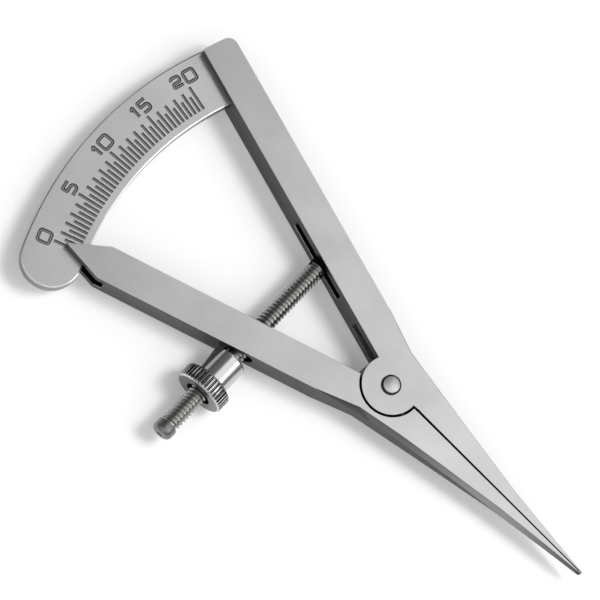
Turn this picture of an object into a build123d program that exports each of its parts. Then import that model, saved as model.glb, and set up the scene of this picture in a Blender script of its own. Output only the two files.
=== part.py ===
from build123d import *
import os
from math import asin, atan2, cos, degrees, pi, radians, sin

os.makedirs("parts", exist_ok=True)

# A lever caliper lying on its back, scale side up, with its tips closed.
# The origin is the centre of the pivot, halfway through the arms, and the closed tips point along +X.
# The scale arm lies above the X axis and the pointer arm below it, each at the same angle.

# Reading: the handles come almost parallel when the tips stand fully open.
reading_range = 20.0
tip_radius = 33.7
parallel_margin = 0.34
half_spread = degrees(asin(reading_range / 2 / tip_radius)) + parallel_margin

# Arms
arm_thickness = 4.5
arm_width = 4.5
arm_inset = 0.42
end_outer_radius = 1.3
end_inner_radius = 0.45

# Jaws
jaw_shoulder_along = 2.5
jaw_mid_length = 14.0
jaw_mid_width = 2.9
tip_width = 0.3
tip_thickness = 1.25
taper_start = 5.0
parting_gap = 0.11
tip_gap = 0.01
tip_overrun = 1.0

# Facets along the outer edges of the jaws
facet_start = 8.5
facet_start_depth = 0.03
facet_shoulder_depth = 1.1
facet_inset_ratio = 0.42
facet_tip_ratio = 0.22
facet_full_share = 0.6
facet_reach = 0.6
facet_margin = 0.9
facet_stations = 8
facet_overrun = 0.2

# Pivot
ear_radius = 3.86
tongue_thickness = 1.5
running_fit = 0.05
ear_gap = 0.14
rivet_diameter = 2.0
rivet_hole_fit = 0.01
rivet_running_fit = 0.03
rivet_head_diameter = 2.6
rivet_side = 0.2
rivet_dome = 0.36
rivet_sink_diameter = 2.6
rivet_sink_depth = 0.35
mortise_runout = 9.3
mortise_runout_depth = 2.3
mortise_runout_foot = 2.5

# Spindle
spindle_along = 18.5
spindle_diameter = 2.5
spindle_length = 31.4
spindle_chamfer = 0.25
eye_thickness = 1.4
eye_slot_fit = 0.1
eye_slot_length = 11.0
eye_end_clearance = 0.2
shoulder_clearance = 0.12
spindle_pin_diameter = 1.2
pin_fit = 0.01
pin_running_fit = 0.03
pin_skin = 0.7
stub_diameter = 1.4
stub_length = 0.9
stub_fit = 0.01

# End stop on the spindle
stop_diameter = 2.75
stop_length = 1.6
stop_round = 0.7
stop_dimple_diameter = 0.8
stop_dimple_depth = 0.15

# Slot for the spindle in the pointer arm
pointer_slot_length = 3.9
pointer_slot_height = 3.1
pointer_slot_inner_shift = 0.45
pointer_slot_outer_shift = 0.5

# Thumb nut
nut_gap = 0.2
nut_barrel_diameter = 4.7
nut_barrel_length = 4.05
nut_barrel_round = 0.3
nut_head_diameter = 6.8
nut_head_length = 2.2
nut_head_chamfer = 0.25
nut_bore_fit = 0.05
nut_counterbore_diameter = 3.6
nut_counterbore_depth = 0.9
knurl_count = 40
knurl_side = 0.2

# Pointer
pointer_length = 44.4
pointer_point = 5.4
fork_clearance = 0.12
fork_run_in = 3.5
fork_reach = 3.0

# Scale plate
pointer_overlap = 2.9
plate_inner_radius = pointer_length - pointer_overlap
plate_width = 7.8
plate_outer_radius = plate_inner_radius + plate_width
plate_thickness = 1.8
plate_seat_fit = 0.01
plate_seat_depth = 3.4
plate_past_zero = 2.6
plate_bevel = 0.3
plate_pin_diameter = 1.0
plate_pin_out = 2.0
plate_pin_inset = 1.9
plate_pin_pitch = 3.6
plate_pin_first = plate_inner_radius + plate_pin_inset
plate_pin_second = plate_pin_first + plate_pin_pitch
fork_bottom = plate_inner_radius - fork_run_in
arm_end_margin = 0.1
arm_length = plate_outer_radius - arm_end_margin

inner_line = arm_inset
outer_line = arm_inset + arm_width
middle_line = arm_inset + arm_width / 2
half_thick = arm_thickness / 2
tilt = radians(half_spread)


def on_arm(along, out, side=1):
    """A point counted along an arm from the pivot and out from its pivot line."""
    return (out * sin(tilt) - along * cos(tilt), side * (along * sin(tilt) + out * cos(tilt)))


def half_thickness(x):
    """Half the thickness of the jaws at a distance from the pivot."""
    fall = (half_thick - tip_thickness / 2) / (tip_radius - taper_start)
    return half_thick - fall * max(0, x - taper_start)


bottom = Plane.XY.offset(-half_thick)
tongue_plane = Plane.XY.offset(-tongue_thickness / 2)
mortise_plane = Plane.XY.offset(-tongue_thickness / 2 - running_fit)
shoulder = on_arm(jaw_shoulder_along, outer_line)
tip_outer = (tip_radius, tip_gap + tip_width)
tip_nose = (tip_radius + tip_width, tip_gap)
tip_round = (tip_radius + tip_width * sin(pi / 4), tip_gap + tip_width * cos(pi / 4))
jaw_edge = ThreePointArc(shoulder, (jaw_mid_length, jaw_mid_width), tip_outer)
arm_out = (sin(tilt), cos(tilt), 0)
arm_to_tip = (cos(tilt), -sin(tilt), 0)

# Tool for one facet: it deepens from nothing on the handle to half the thickness at the tip.
with BuildPart() as facet_tool:
    places = [(Plane(on_arm(facet_start, outer_line) + (0,), arm_out, arm_to_tip), half_thick, facet_start_depth)]
    for step in range(facet_stations + 1):
        share = step / facet_stations
        point = jaw_edge @ share
        heading = jaw_edge % share
        high = half_thickness(point.X)
        depth = high if share > facet_full_share else facet_shoulder_depth
        places.append((Plane(point, (-heading.Y, heading.X, 0), (heading.X, heading.Y, 0)), high, depth))
    past_tip = point + heading * (tip_width + facet_overrun)
    places.append((Plane(past_tip, (-heading.Y, heading.X, 0), (heading.X, heading.Y, 0)), high, depth))
    for step, (place, high, depth) in enumerate(places):
        share = step / (len(places) - 1)
        inset = depth * (facet_inset_ratio + share * (facet_tip_ratio - facet_inset_ratio))
        with BuildSketch(place):
            with BuildLine():
                Polyline(
                    (-inset * (1 + facet_reach), high + facet_reach * depth),
                    (inset * facet_reach, high - depth * (1 + facet_reach)),
                    (inset * facet_reach + facet_margin, high + facet_reach * depth + facet_margin),
                    close=True,
                )
            make_face()
    loft(ruled=True)

# Pivot end and jaw, alike on both arms
with BuildPart() as jaw_blank:
    stub_end = facet_start + arm_inset
    with BuildSketch(bottom):
        with BuildLine():
            ThreePointArc(tip_outer, tip_round, tip_nose)
            Polyline(tip_nose, (0, parting_gap), on_arm(0, inner_line))
            Polyline(on_arm(0, inner_line), on_arm(stub_end, inner_line), on_arm(stub_end, outer_line), shoulder)
            add(jaw_edge)
        make_face()
    extrude(amount=arm_thickness)
    for side in (1, -1):
        with BuildSketch(Plane.XZ):
            with BuildLine():
                Polyline(
                    (taper_start, side * half_thick),
                    (tip_radius + tip_overrun, side * half_thick),
                    (tip_radius + tip_overrun, side * half_thickness(tip_radius + tip_overrun)),
                    close=True,
                )
            make_face()
        extrude(amount=outer_line, both=True, mode=Mode.SUBTRACT)
    add(facet_tool.part, mode=Mode.SUBTRACT)
    mirror(facet_tool.part, about=Plane.XY, mode=Mode.SUBTRACT)

# Spindle pivot in the scale arm, and its mirror image in the pointer arm
swivel = on_arm(spindle_along, middle_line)
eye_radius = spindle_diameter / 2
eye_slot_depth = arm_width / 2 + eye_radius + eye_end_clearance
eye_cutter = (eye_slot_length**2 / 4 + eye_slot_depth**2) / (2 * eye_slot_depth)
eye_slot_height = eye_thickness + 2 * eye_slot_fit
plate_slot_height = plate_thickness + 2 * plate_seat_fit
plate_pin_spots = [on_arm(plate_pin_first, plate_pin_out), on_arm(plate_pin_second, plate_pin_out)]

rivet_sink_angle = degrees(atan2((rivet_sink_diameter - rivet_diameter) / 2, rivet_sink_depth))

with BuildPart() as scale_arm:
    add(jaw_blank.part)
    with BuildSketch(bottom):
        with BuildLine():
            Polyline(
                on_arm(facet_start, inner_line),
                on_arm(arm_length, inner_line),
                on_arm(arm_length, outer_line),
                on_arm(facet_start, outer_line),
                close=True,
            )
        make_face()
    extrude(amount=arm_thickness)
    end_edges = scale_arm.edges().filter_by(Axis.Z).sort_by(Axis.X)
    fillet(end_edges[0], radius=end_inner_radius)
    end_edges = scale_arm.edges().filter_by(Axis.Z).sort_by(Axis.Y)
    fillet(end_edges[-1], radius=end_outer_radius)
    # Front and back ears round the pivot
    with BuildSketch(bottom):
        Circle(ear_radius)
    extrude(amount=arm_thickness)
    # Mortise for the tongue, with its run-out up the inner side
    with BuildSketch(mortise_plane):
        Circle(ear_radius + running_fit)
        with BuildLine():
            Polyline(
                on_arm(mortise_runout, inner_line - running_fit),
                on_arm(mortise_runout_foot, mortise_runout_depth),
                on_arm(0, inner_line - running_fit),
                close=True,
            )
        make_face()
    extrude(amount=tongue_thickness + 2 * running_fit, mode=Mode.SUBTRACT)
    with BuildSketch(bottom):
        Circle(rivet_diameter / 2 + rivet_hole_fit)
    extrude(amount=arm_thickness, mode=Mode.SUBTRACT)
    # Countersink at the back, into which the end of the rivet is set flush
    with BuildSketch(bottom):
        Circle(rivet_sink_diameter / 2 + rivet_hole_fit)
    extrude(amount=rivet_sink_depth, taper=rivet_sink_angle, mode=Mode.SUBTRACT)
    # Slot for the spindle eye, cut with a round cutter
    with BuildSketch(Plane.XY.offset(-eye_slot_height / 2)):
        with Locations(on_arm(spindle_along, inner_line + eye_slot_depth - eye_cutter)):
            Circle(eye_cutter)
    extrude(amount=eye_slot_height, mode=Mode.SUBTRACT)
    # Seat for the scale plate, open at the end of the arm
    with BuildSketch(Plane.XY.offset(-plate_slot_height / 2)):
        with BuildLine():
            Polyline(
                on_arm(plate_inner_radius - plate_seat_depth, -inner_line),
                on_arm(arm_length + arm_width, -inner_line),
                on_arm(arm_length + arm_width, inner_line + plate_seat_depth + plate_seat_fit),
                on_arm(plate_inner_radius - plate_seat_depth, inner_line + plate_seat_depth + plate_seat_fit),
                close=True,
            )
        make_face()
        Circle(plate_inner_radius - plate_seat_fit, mode=Mode.SUBTRACT)
    extrude(amount=plate_slot_height, mode=Mode.SUBTRACT)
    # Blind holes for the pins, drilled from the back
    with BuildSketch(bottom):
        with Locations(swivel):
            Circle(spindle_pin_diameter / 2 + pin_fit)
        with Locations(*plate_pin_spots):
            Circle(plate_pin_diameter / 2 + pin_fit)
    extrude(amount=arm_thickness - pin_skin, mode=Mode.SUBTRACT)

scale_arm.part.label = "scale_arm"
export_step(scale_arm.part, "parts/scale_arm.step")

with BuildPart() as pointer_arm:
    mirror(jaw_blank.part, about=Plane.XZ)
    # Handle ending in a point on the middle line
    with BuildSketch(bottom):
        with BuildLine():
            Polyline(
                on_arm(facet_start, inner_line, -1),
                on_arm(pointer_length - pointer_point, inner_line, -1),
                on_arm(pointer_length, middle_line, -1),
                on_arm(pointer_length - pointer_point, outer_line, -1),
                on_arm(facet_start, outer_line, -1),
                close=True,
            )
        make_face()
    extrude(amount=arm_thickness)
    # Room for the ears, front and back, round the tongue
    for level in (tongue_thickness / 2, -half_thick):
        with BuildSketch(Plane.XY.offset(level)):
            Circle(ear_radius + ear_gap)
        extrude(amount=half_thick - tongue_thickness / 2, mode=Mode.SUBTRACT)
    with BuildSketch(tongue_plane):
        Circle(ear_radius)
    extrude(amount=tongue_thickness)
    with BuildSketch(bottom):
        Circle(rivet_diameter / 2 + rivet_running_fit)
    extrude(amount=arm_thickness, mode=Mode.SUBTRACT)
    # Slanted slot that lets the spindle swing while the arm closes on it
    for out, shift in ((0, -pointer_slot_inner_shift), (outer_line + inner_line, pointer_slot_outer_shift)):
        spot = on_arm(spindle_along + shift, out, -1) + (0,)
        with BuildSketch(Plane(spot, (-cos(tilt), -sin(tilt), 0), (sin(tilt), -cos(tilt), 0))):
            SlotOverall(pointer_slot_length, pointer_slot_height)
    loft(mode=Mode.SUBTRACT)
    # Fork that straddles the scale plate
    with BuildSketch(Plane.XY.offset(-plate_thickness / 2 - fork_clearance)):
        with BuildLine():
            Polyline(
                on_arm(fork_bottom, 0, -1),
                on_arm(pointer_length + fork_reach, 0, -1),
                on_arm(pointer_length + fork_reach, outer_line + inner_line, -1),
                on_arm(fork_bottom, outer_line + inner_line, -1),
                close=True,
            )
        make_face()
    extrude(amount=plate_thickness + 2 * fork_clearance, mode=Mode.SUBTRACT)

pointer_arm.part.label = "pointer_arm"
export_step(pointer_arm.part, "parts/pointer_arm.step")

# The zero line lies under the pointer's point when the tips are closed.
zero_angle = 180 + half_spread + degrees(atan2(middle_line, pointer_length))
lobe_angle = zero_angle + plate_past_zero
lobe_radius = (plate_outer_radius - plate_inner_radius) / 2
lobe_centre = plate_inner_radius + lobe_radius
root_line = inner_line + plate_seat_depth
root_outer = 180 - half_spread - degrees(asin(root_line / plate_outer_radius))
root_inner = 180 - half_spread - degrees(asin(root_line / plate_inner_radius))

with BuildPart() as scale_plate:
    with BuildSketch(Plane.XY.offset(-plate_thickness / 2)):
        with BuildLine():
            outer_arc = CenterArc((0, 0), plate_outer_radius, root_outer, lobe_angle - root_outer)
            middle = (lobe_centre * cos(radians(lobe_angle)), lobe_centre * sin(radians(lobe_angle)))
            CenterArc(middle, lobe_radius, lobe_angle, 180)
            inner_arc = CenterArc((0, 0), plate_inner_radius, root_inner, lobe_angle - root_inner)
            Line(inner_arc @ 0, outer_arc @ 0)
        make_face()
    extrude(amount=plate_thickness)
    with BuildSketch(Plane.XY.offset(-plate_thickness / 2)):
        with Locations(*plate_pin_spots):
            Circle(plate_pin_diameter / 2 + pin_fit)
    extrude(amount=plate_thickness, mode=Mode.SUBTRACT)
    face_edges = scale_plate.faces().sort_by(Axis.Z)[-1].edges().filter_by(GeomType.CIRCLE)
    edge_radii = (plate_inner_radius, lobe_radius)
    chamfer([e for e in face_edges if min(abs(e.radius - r) for r in edge_radii) < plate_seat_fit], plate_bevel)

scale_plate.part.label = "scale_plate"
export_step(scale_plate.part, "parts/scale_plate.step")

with BuildPart() as scale_plate_pins:
    with BuildSketch(bottom):
        with Locations(*plate_pin_spots):
            Circle(plate_pin_diameter / 2)
    extrude(amount=arm_thickness - pin_skin)

scale_plate_pins.part.label = "scale_plate_pins"
export_step(scale_plate_pins.part, "parts/scale_plate_pins.step")

with BuildPart() as pivot_rivet:
    with BuildSketch(Plane.XZ):
        with BuildLine():
            rim = half_thick + rivet_side
            TangentArc((0, rim + rivet_dome), (rivet_head_diameter / 2, rim), tangent=(1, 0))
            Polyline(
                (rivet_head_diameter / 2, rim),
                (rivet_head_diameter / 2, half_thick),
                (rivet_diameter / 2, half_thick),
                (rivet_diameter / 2, rivet_sink_depth - half_thick),
                (rivet_sink_diameter / 2, -half_thick),
                (0, -half_thick),
                (0, rim + rivet_dome),
            )
        make_face()
    revolve(axis=Axis.Z)

pivot_rivet.part.label = "pivot_rivet"
export_step(pivot_rivet.part, "parts/pivot_rivet.step")


def spindle_plane(distance):
    """A plane across the spindle, at a distance from its swivel, looking along it."""
    return Plane((swivel[0], swivel[1] - distance, 0), (1, 0, 0), (0, -1, 0))


round_start = (arm_width / 2 + eye_radius * sin(tilt) + shoulder_clearance) / cos(tilt)

with BuildPart() as threaded_spindle:
    with BuildSketch(spindle_plane(round_start)):
        Circle(spindle_diameter / 2)
    extrude(amount=spindle_length - round_start)
    chamfer(threaded_spindle.edges().sort_by(Axis.Y)[-1], spindle_chamfer)
    with BuildSketch(Plane.XY.offset(-eye_thickness / 2)):
        with Locations(swivel):
            Circle(eye_radius)
        with Locations((swivel[0], swivel[1] - (round_start + eye_radius) / 2)):
            Rectangle(spindle_diameter, round_start + eye_radius)
    extrude(amount=eye_thickness)
    with BuildSketch(Plane.XY.offset(-eye_thickness / 2)):
        with Locations(swivel):
            Circle(spindle_pin_diameter / 2 + pin_running_fit)
    extrude(amount=eye_thickness, mode=Mode.SUBTRACT)
    with BuildSketch(spindle_plane(spindle_length)):
        Circle(stub_diameter / 2)
    extrude(amount=stub_length)

threaded_spindle.part.label = "threaded_spindle"
export_step(threaded_spindle.part, "parts/threaded_spindle.step")

with BuildPart() as spindle_pin:
    with BuildSketch(bottom):
        with Locations(swivel):
            Circle(spindle_pin_diameter / 2)
    extrude(amount=arm_thickness - pin_skin)

spindle_pin.part.label = "spindle_pin"
export_step(spindle_pin.part, "parts/spindle_pin.step")

with BuildPart() as spindle_end_stop:
    with BuildSketch(spindle_plane(spindle_length)):
        Circle(stop_diameter / 2)
    extrude(amount=stop_length)
    fillet(spindle_end_stop.edges().sort_by(Axis.Y)[0], radius=stop_round)
    with BuildSketch(spindle_plane(spindle_length)):
        Circle(stub_diameter / 2 + stub_fit)
    extrude(amount=stub_length + stub_fit, mode=Mode.SUBTRACT)
    with BuildSketch(spindle_plane(spindle_length + stop_length)):
        Circle(stop_dimple_diameter / 2)
    extrude(amount=-stop_dimple_depth, mode=Mode.SUBTRACT)

spindle_end_stop.part.label = "spindle_end_stop"
export_step(spindle_end_stop.part, "parts/spindle_end_stop.step")

# The nut bears on the pointer arm, whose outer side stands at the spread angle to the spindle.
swivel_to_slot = 2 * swivel[1]
bearing = (arm_width / 2 + nut_barrel_diameter / 2 * sin(tilt)) / cos(tilt)
nut_start = swivel_to_slot + bearing + nut_gap
nut_length = nut_barrel_length + nut_head_length

with BuildPart() as thumb_nut:
    with BuildSketch(spindle_plane(nut_start)):
        Circle(nut_barrel_diameter / 2)
    extrude(amount=nut_length)
    fillet(thumb_nut.edges().sort_by(Axis.Y)[-1], radius=nut_barrel_round)
    with BuildSketch(spindle_plane(nut_start + nut_barrel_length)):
        Circle(nut_head_diameter / 2)
    extrude(amount=nut_head_length)
    rims = thumb_nut.edges().filter_by(GeomType.CIRCLE).sort_by(lambda e: e.radius)[-2:]
    chamfer(rims, nut_head_chamfer)
    with BuildSketch(spindle_plane(nut_start + nut_barrel_length)):
        with PolarLocations(nut_head_diameter / 2, knurl_count):
            Rectangle(knurl_side, knurl_side, rotation=45)
    extrude(amount=nut_head_length, mode=Mode.SUBTRACT)
    with BuildSketch(spindle_plane(nut_start)):
        Circle(spindle_diameter / 2 + nut_bore_fit)
    extrude(amount=nut_length, mode=Mode.SUBTRACT)
    with BuildSketch(spindle_plane(nut_start + nut_length)):
        Circle(nut_counterbore_diameter / 2)
    extrude(amount=-nut_counterbore_depth, mode=Mode.SUBTRACT)

thumb_nut.part.label = "thumb_nut"
export_step(thumb_nut.part, "parts/thumb_nut.step")
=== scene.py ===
import math

import bmesh
import bpy
from mathutils import Matrix, Vector


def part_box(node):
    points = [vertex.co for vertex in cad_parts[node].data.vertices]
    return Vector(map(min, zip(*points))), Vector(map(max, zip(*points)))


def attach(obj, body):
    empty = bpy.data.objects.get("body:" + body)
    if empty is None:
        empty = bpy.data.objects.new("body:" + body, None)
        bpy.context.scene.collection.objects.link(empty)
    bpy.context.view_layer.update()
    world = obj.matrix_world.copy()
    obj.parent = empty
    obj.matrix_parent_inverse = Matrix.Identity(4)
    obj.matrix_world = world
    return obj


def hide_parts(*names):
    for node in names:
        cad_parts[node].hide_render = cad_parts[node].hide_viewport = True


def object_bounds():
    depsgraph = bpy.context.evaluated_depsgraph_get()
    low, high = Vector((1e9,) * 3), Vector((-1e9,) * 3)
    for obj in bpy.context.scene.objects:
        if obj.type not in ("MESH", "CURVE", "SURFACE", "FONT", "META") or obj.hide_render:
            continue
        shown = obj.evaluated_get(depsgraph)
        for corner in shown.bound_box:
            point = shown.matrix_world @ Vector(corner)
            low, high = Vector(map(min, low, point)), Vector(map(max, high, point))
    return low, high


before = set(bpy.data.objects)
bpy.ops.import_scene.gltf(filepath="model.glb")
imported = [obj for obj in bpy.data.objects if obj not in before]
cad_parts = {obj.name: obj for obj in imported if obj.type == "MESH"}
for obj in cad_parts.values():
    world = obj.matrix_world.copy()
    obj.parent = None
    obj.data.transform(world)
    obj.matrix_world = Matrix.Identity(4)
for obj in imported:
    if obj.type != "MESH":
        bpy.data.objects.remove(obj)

bl_info = {
    "name": "Surgical Caliper",
    "version": (1, 0, 0),
    "blender": (4, 5, 0),
    "location": "View3D > Sidebar > Caliper",
    "description": "Dresses a lever caliper: ground arms, engraved scale, threaded spindle and knurled nut",
    "category": "Object",
}

CAD_BOX = [list(corner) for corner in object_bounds()]
MM = 0.001
PIVOT = Vector((0, 0, 0))
UP = Vector((0, 0, 1))

# Lengths and places below are in millimetres unless a comment says otherwise. X runs from the pivot to the
# tips.
WELD = 0.0005  # vertices of a CAD mesh nearer than this are one
SEAM = 0.001  # vertices where two made parts meet, nearer than this, are one
FLAT_WITHIN = 0.3  # degrees between two triangles of the same flat face
HANDLING_MARK = 7  # size of the marks that handling leaves on the steel
# Where along X the facets' painted shade at the shoulder fades, and where they darken towards the tips
SHOULDER_SHADE = {"From Min": 5 * MM, "From Max": 17 * MM}
TIP_DARKENING = {"From Min": 23 * MM, "From Max": 33 * MM}


def linear(hex_code):
    """A linear colour from an sRGB hex code such as "a7a7a7"."""
    parts = [int(hex_code[i : i + 2], 16) / 255 for i in (0, 2, 4)]
    return tuple(c / 12.92 if c <= 0.04045 else ((c + 0.055) / 1.055) ** 2.4 for c in parts)


class CaliperScale(bpy.types.PropertyGroup):
    """Sizes of the graduated plate, in millimetres and degrees."""

    inner_radius: bpy.props.FloatProperty(
        name="Inner radius", description="Inner edge of the plate, from the pivot", default=41.5
    )
    outer_radius: bpy.props.FloatProperty(
        name="Outer radius", description="Outer edge of the plate, from the pivot", default=49.29
    )
    thickness: bpy.props.FloatProperty(name="Thickness", description="Thickness of the plate", default=1.8)
    seat_line: bpy.props.FloatProperty(
        name="Seat line",
        description="How far the plate reaches into the arm, from the pivot line",
        default=3.82,
    )
    arm_angle: bpy.props.FloatProperty(
        name="Arm angle",
        description="Angle from the closed tips' line to the scale arm",
        subtype="ANGLE",
        unit="ROTATION",
        default=math.radians(162.3983),
    )
    lobe_angle: bpy.props.FloatProperty(
        name="Lobe angle",
        description="Where the rounded end of the plate is centred",
        subtype="ANGLE",
        unit="ROTATION",
        default=math.radians(203.643),
    )
    zero_angle: bpy.props.FloatProperty(
        name="Zero angle",
        description="Where the zero line stands",
        subtype="ANGLE",
        unit="ROTATION",
        default=math.radians(201.043),
    )
    swing: bpy.props.FloatProperty(
        name="Swing",
        description="Angle between the first and the last line",
        subtype="ANGLE",
        unit="ROTATION",
        default=math.radians(34.526),
    )
    line_start: bpy.props.FloatProperty(
        name="Line start", description="Inner end of the lines, from the pivot", default=42.5
    )
    half_line: bpy.props.FloatProperty(
        name="Half line", description="Outer end of the half-millimetre lines", default=44.75
    )
    whole_line: bpy.props.FloatProperty(
        name="Whole line", description="Outer end of the millimetre lines", default=45.6
    )
    fifth_line: bpy.props.FloatProperty(
        name="Fifth line", description="Outer end of every fifth line", default=45.95
    )
    stroke: bpy.props.FloatProperty(
        name="Stroke", description="Width of the engraved lines at the surface", default=0.38
    )
    stroke_depth: bpy.props.FloatProperty(
        name="Stroke depth", description="Depth of the engraving", default=0.12
    )
    numeral_stroke: bpy.props.FloatProperty(
        name="Numeral stroke", description="Width of the numerals' strokes at the surface", default=0.44
    )
    flat_share: bpy.props.FloatProperty(
        name="Flat share",
        description="How much of a stroke's width is its flat floor",
        subtype="FACTOR",
        min=0.1,
        max=0.9,
        default=0.5,
    )
    numeral_radius: bpy.props.FloatProperty(
        name="Numeral radius", description="Middle of the numerals, from the pivot", default=47.2
    )
    numeral_height: bpy.props.FloatProperty(
        name="Numeral height", description="Height of the numerals' middle line", default=1.56
    )
    chamfer: bpy.props.FloatProperty(
        name="Chamfer", description="Width of the chamfer round the plate", default=0.16
    )
    chamfer_depth: bpy.props.FloatProperty(
        name="Chamfer depth", description="Depth of the chamfer round the plate", default=0.08
    )


class CaliperSpindle(bpy.types.PropertyGroup):
    """Sizes of the threaded spindle, in millimetres."""

    swivel_x: bpy.props.FloatProperty(
        name="Swivel X", description="Place of the spindle's swivel", default=-16.8262
    )
    swivel_y: bpy.props.FloatProperty(
        name="Swivel Y", description="Place of the spindle's swivel", default=8.1397
    )
    diameter: bpy.props.FloatProperty(
        name="Diameter", description="Outer diameter of the thread", default=2.5
    )
    pitch: bpy.props.FloatProperty(name="Pitch", description="Pitch of the thread", default=0.55)
    depth: bpy.props.FloatProperty(name="Thread depth", description="Depth of the thread", default=0.21)
    neck_start: bpy.props.FloatProperty(
        name="Neck start", description="Where the round part begins, from the swivel", default=2.886
    )
    thread_start: bpy.props.FloatProperty(
        name="Thread start", description="Where the thread begins, from the swivel", default=3.05
    )
    thread_end: bpy.props.FloatProperty(
        name="Thread end", description="Where the thread ends, from the swivel", default=31.0
    )
    length: bpy.props.FloatProperty(
        name="Length", description="Where the spindle meets its end stop", default=31.4
    )
    eye_thickness: bpy.props.FloatProperty(
        name="Eye thickness", description="Thickness of the flattened eye", default=1.4
    )
    facets: bpy.props.IntProperty(name="Facets", description="Steps in one turn of the thread", default=28)


class CaliperFinish(bpy.types.PropertyGroup):
    """Colours and edge breaks of the steel."""

    face_colour: bpy.props.FloatVectorProperty(
        name="Ground faces",
        description="Colour of the ground faces",
        subtype="COLOR",
        size=3,
        default=linear("cacaca"),
    )
    # Painted shade: the upright sides get this darker colour
    side_colour: bpy.props.FloatVectorProperty(
        name="Milled sides",
        description="Colour of the milled sides",
        subtype="COLOR",
        size=3,
        default=linear("464646"),
    )
    facet_colour: bpy.props.FloatVectorProperty(
        name="Jaw facets",
        description="Colour of the facets along the jaws",
        subtype="COLOR",
        size=3,
        default=linear("8a8a8a"),
    )
    faced_colour: bpy.props.FloatVectorProperty(
        name="Cut ends",
        description="Colour of the cut ends and of the plate's edge",
        subtype="COLOR",
        size=3,
        default=linear("848484"),
    )
    # Painted shade: the near-black put in the slots, joints, bore, knurl, crease and on the spindle's eye
    recess_colour: bpy.props.FloatVectorProperty(
        name="Slots", description="Colour inside the slots", subtype="COLOR", size=3, default=linear("1c1c1c")
    )
    plate_colour: bpy.props.FloatVectorProperty(
        name="Scale plate",
        description="Colour of the scale plate",
        subtype="COLOR",
        size=3,
        default=linear("dadada"),
    )
    # Painted shade: the engraving's walls and floor are coloured darker than the plate
    engraving_colour: bpy.props.FloatVectorProperty(
        name="Engraving",
        description="Colour of the engraving's walls",
        subtype="COLOR",
        size=3,
        default=linear("343434"),
    )
    engraving_floor: bpy.props.FloatVectorProperty(
        name="Engraving floor",
        description="Colour of the engraving's flat floor",
        subtype="COLOR",
        size=3,
        default=linear("969696"),
    )
    polished_colour: bpy.props.FloatVectorProperty(
        name="Polished steel",
        description="Colour of the rivet and the nut",
        subtype="COLOR",
        size=3,
        default=linear("cecece"),
    )
    turned_colour: bpy.props.FloatVectorProperty(
        name="Turned steel",
        description="Colour of the thread",
        subtype="COLOR",
        size=3,
        default=linear("9e9d9b"),
    )
    edge_break: bpy.props.FloatProperty(
        name="Edge break", description="Width of the broken edges, in millimetres", default=0.05
    )
    joint_break: bpy.props.FloatProperty(
        name="Joint break", description="Width of the broken edges along the jaws' joint", default=0.07
    )


class CaliperStage(bpy.types.PropertyGroup):
    """Camera, lamps and floor."""

    camera_place: bpy.props.FloatVectorProperty(
        name="Camera place",
        description="Where the camera stands",
        size=3,
        subtype="TRANSLATION",
        unit="LENGTH",
        default=(-0.017694, -0.110313, 0.311517),
    )
    camera_turn: bpy.props.FloatVectorProperty(
        name="Camera turn",
        description="How the camera is turned",
        size=3,
        subtype="EULER",
        unit="ROTATION",
        default=tuple(math.radians(a) for a in (14.1927, -13.6555, 41.983)),
    )
    camera_lens: bpy.props.FloatProperty(
        name="Lens", description="Focal length in millimetres on a 36 mm sensor", default=156.59
    )
    floor_colour: bpy.props.FloatVectorProperty(
        name="Floor", description="Colour of the floor", subtype="COLOR", size=3, default=linear("fafafa")
    )
    floor_size: bpy.props.FloatProperty(
        name="Floor size", description="Width of the floor", unit="LENGTH", default=3.0
    )
    daylight: bpy.props.FloatProperty(
        name="Room light", description="Strength of the light from all round", default=1.24
    )
    key_power: bpy.props.FloatProperty(
        name="Key lamp", description="Power of the key lamp, in watts", default=6.4
    )


def add_node(tree, kind, inputs=None, **settings):
    """Adds a shader node with its settings; an input is a value or the socket that feeds it."""
    node = tree.nodes.new(kind)
    for name, value in settings.items():
        setattr(node, name, value)
    for name, value in (inputs or {}).items():
        if isinstance(value, bpy.types.NodeSocket):
            tree.links.new(value, node.inputs[name])
        else:
            node.inputs[name].default_value = value
    return node


def empty_tree(owner):
    """Gives a material or the world its nodes and returns the tree, emptied."""
    owner.use_nodes = True
    owner.node_tree.nodes.clear()
    return owner.node_tree


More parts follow.
